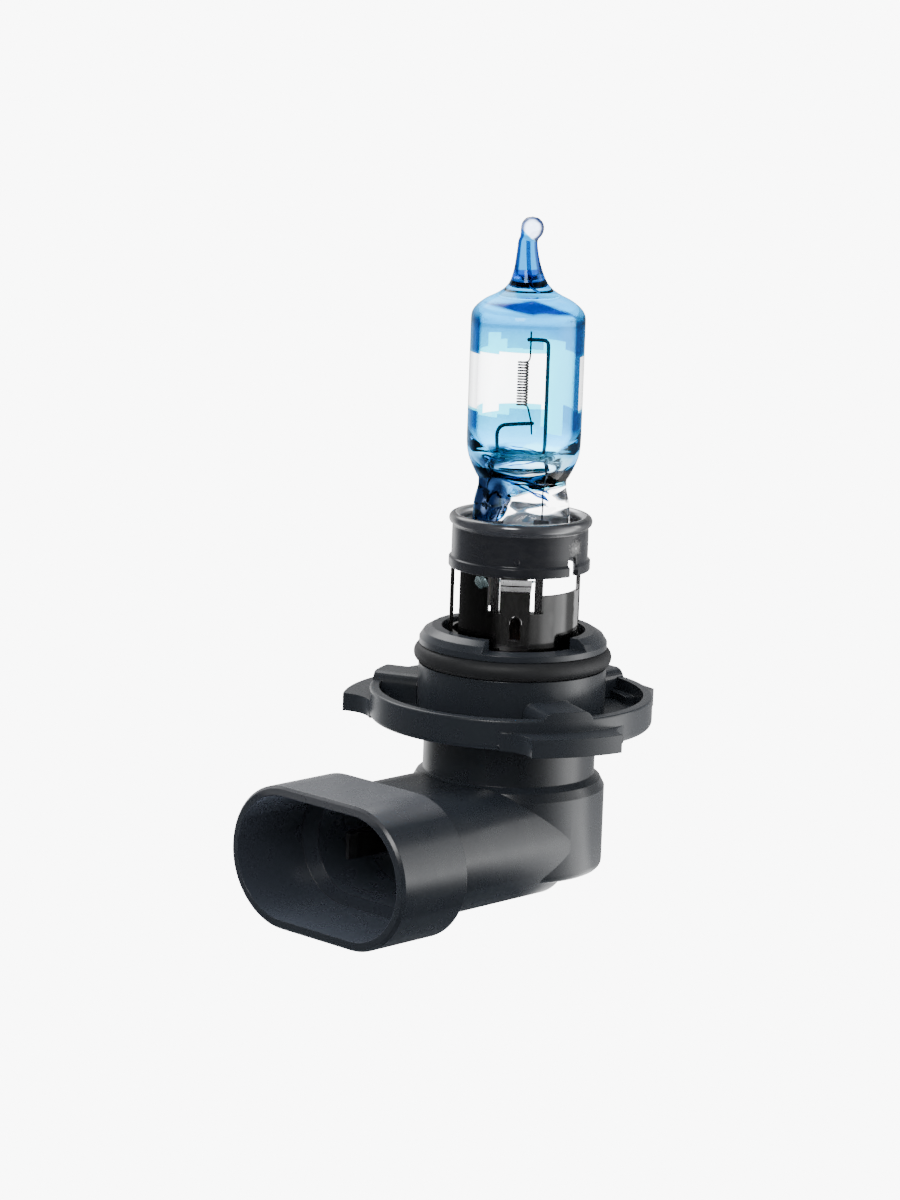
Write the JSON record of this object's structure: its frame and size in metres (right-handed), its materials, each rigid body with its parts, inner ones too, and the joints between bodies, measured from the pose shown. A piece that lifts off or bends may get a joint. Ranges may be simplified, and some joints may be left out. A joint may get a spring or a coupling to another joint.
{
  "type": "headlight bulb",
  "caption": "Right-angle halogen headlight bulb: blue quartz capsule in a sheet-steel holder on a black lugged cap with a two-blade connector.",
  "frame": {"origin": "on the cap's axis, in the reference plane that the tops of the three bearing ridges form", "axes": "+Z along the cap's axis towards the glass tip, -Y out of the connector's mouth, +X to the right seen from the mouth"},
  "size_m": [0.035, 0.0454, 0.0716],
  "materials": {
    "housing_plastic": "moulded black, satin",
    "seal_rubber": "smooth black",
    "carrier_plastic": "moulded black, matte",
    "potting_resin": "cast resin, glossy",
    "plated_terminal": "tin plated, satin",
    "plated_riser": "tin plated, satin",
    "stainless_steel": "bright rolled stainless sheet",
    "black_ring": "black, semi-gloss",
    "coated_quartz": "clear quartz with a blue interference film",
    "tungsten": "drawn wire, semi-bright",
    "molybdenum": "drawn wire, semi-bright",
    "molybdenum_foil": "thin foil, dull",
    "nickel_lead": "drawn wire, satin"
  },
  "bodies": {
    "root": {"base_housing": "housing_plastic", "sealing_ring": "seal_rubber", "terminal_carrier": "carrier_plastic", "potting_seal": "potting_resin", "left_terminal": "plated_terminal", "right_terminal": "plated_terminal", "left_riser": "plated_riser", "right_riser": "plated_riser", "holder_sleeve": "stainless_steel", "retaining_ring": "black_ring", "clip_plate": "stainless_steel", "pinch_clip": "stainless_steel", "glass_envelope": "coated_quartz", "filament": "tungsten", "long_support": "molybdenum", "short_support": "molybdenum", "long_side_foil": "molybdenum_foil", "short_side_foil": "molybdenum_foil", "long_side_lead": "nickel_lead", "short_side_lead": "nickel_lead"}
  },
  "joints": []
}
